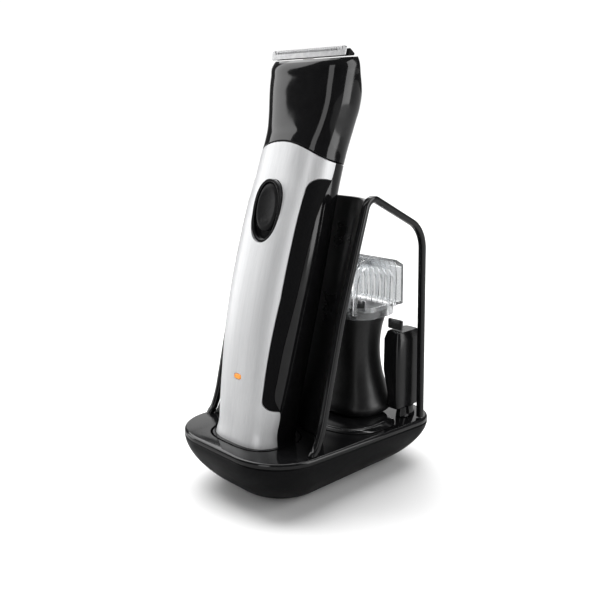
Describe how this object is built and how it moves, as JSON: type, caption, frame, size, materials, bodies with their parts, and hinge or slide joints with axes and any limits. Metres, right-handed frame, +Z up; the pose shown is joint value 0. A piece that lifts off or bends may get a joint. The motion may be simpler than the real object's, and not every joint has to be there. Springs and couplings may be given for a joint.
{
  "type": "body groomer in charging stand",
  "caption": "Cordless body groomer leaning in a charging stand, with a lift-out handle, a click-off cutting head and stored cutting attachments.",
  "frame": {"origin": "on the table, in the middle of the stand's footprint", "axes": "+Z up, -Y towards the front where the handle's silver face looks, +X to the user's right when facing +Y"},
  "size_m": [0.069, 0.103, 0.1782],
  "materials": {
    "satin_black": "satin moulded plastic",
    "gloss_black": "high gloss",
    "silver": "satin, fine lengthwise brushing",
    "rubber": "matte, fine grain",
    "steel": "brushed",
    "brass": "bright plated contacts",
    "amber": "translucent lens",
    "clear": "clear moulded plastic",
    "nylon": "natural nylon",
    "board": "solder mask",
    "cell_wrap": "shrink sleeve on a metal can"
  },
  "bodies": {
    "stand": {"base_shell": "satin_black", "deck": "gloss_black", "bottom_cover": "satin_black", "foot_front_left": "rubber", "foot_front_right": "rubber", "foot_rear_left": "rubber", "foot_rear_right": "rubber", "cover_screw_front_left": "steel", "cover_screw_front_right": "steel", "cover_screw_rear_left": "steel", "cover_screw_rear_right": "steel", "ballast_plate": "steel", "stand_circuit_board": "board", "power_inlet": "satin_black", "foot_cup": "gloss_black", "charging_pin_left": "brass", "charging_pin_right": "brass", "cradle_shield": "gloss_black", "loop_left": "gloss_black", "loop_right": "gloss_black", "head_pedestal": "gloss_black", "precision_pedestal": "gloss_black"},
    "handle": {"front_shell": "silver", "rear_shell": "gloss_black", "grip_left": "rubber", "grip_right": "rubber", "switch_bezel": "gloss_black", "charge_light": "amber", "chassis": "nylon", "handle_circuit_board": "board", "battery_cell_left": "cell_wrap", "battery_cell_right": "cell_wrap", "motor": "steel", "charging_plate_left": "brass", "charging_plate_right": "brass", "neck_collar": "satin_black", "seal_ring": "rubber"},
    "power_switch": {"switch_pad": "rubber"},
    "rotor": {"motor_shaft": "steel", "eccentric_cam": "nylon"},
    "head": {"head_housing": "gloss_black", "guard_blade": "steel", "blade_seat": "satin_black"},
    "cutter": {"moving_blade": "steel", "drive_fork": "nylon"},
    "spare_head": {"spare_head_housing": "satin_black", "spare_guard_blade": "steel"},
    "spare_cutter": {"spare_moving_blade": "steel"},
    "comb": {"guide_comb": "clear"},
    "precision_trimmer": {"precision_housing": "satin_black", "precision_guard_blade": "steel"},
    "precision_cutter": {"precision_moving_blade": "steel"}
  },
  "joints": [
    {"name": "handle_lift", "type": "slide", "parent": "stand", "child": "handle", "axis": [0, 0.2267, 0.974], "range_m": [0, 0.06]},
    {"name": "head_release", "type": "slide", "parent": "handle", "child": "head", "axis": [0, 0.2267, 0.974], "range_m": [0, 0.02]},
    {"name": "cutter_slide", "type": "slide", "parent": "head", "child": "cutter", "axis": [1, 0, 0], "range_m": [-0.0012, 0.0012]},
    {"name": "power_switch_slide", "type": "slide", "parent": "handle", "child": "power_switch", "axis": [0, 0.2267, 0.974], "range_m": [-0.003, 0]},
    {"name": "motor_spin", "type": "hinge", "parent": "handle", "child": "rotor", "pos_m": [0, -0.00928, 0.10819], "axis": [0, 0.2267, 0.974], "continuous": true},
    {"name": "spare_head_lift", "type": "slide", "parent": "stand", "child": "spare_head", "axis": [-0.1606, 0.1304, 0.9784], "range_m": [0, 0.03]},
    {"name": "spare_cutter_slide", "type": "slide", "parent": "spare_head", "child": "spare_cutter", "axis": [1, 0, 0], "range_m": [-0.0012, 0.0012]},
    {"name": "comb_lift", "type": "slide", "parent": "spare_head", "child": "comb", "axis": [0, 0, 1], "range_m": [0, 0.015]},
    {"name": "precision_lift", "type": "slide", "parent": "stand", "child": "precision_trimmer", "axis": [0, 0.7071, 0.7071], "range_m": [0, 0.03]},
    {"name": "precision_cutter_slide", "type": "slide", "parent": "precision_trimmer", "child": "precision_cutter", "axis": [1, 0, 0], "range_m": [-0.001, 0.001]}
  ]
}
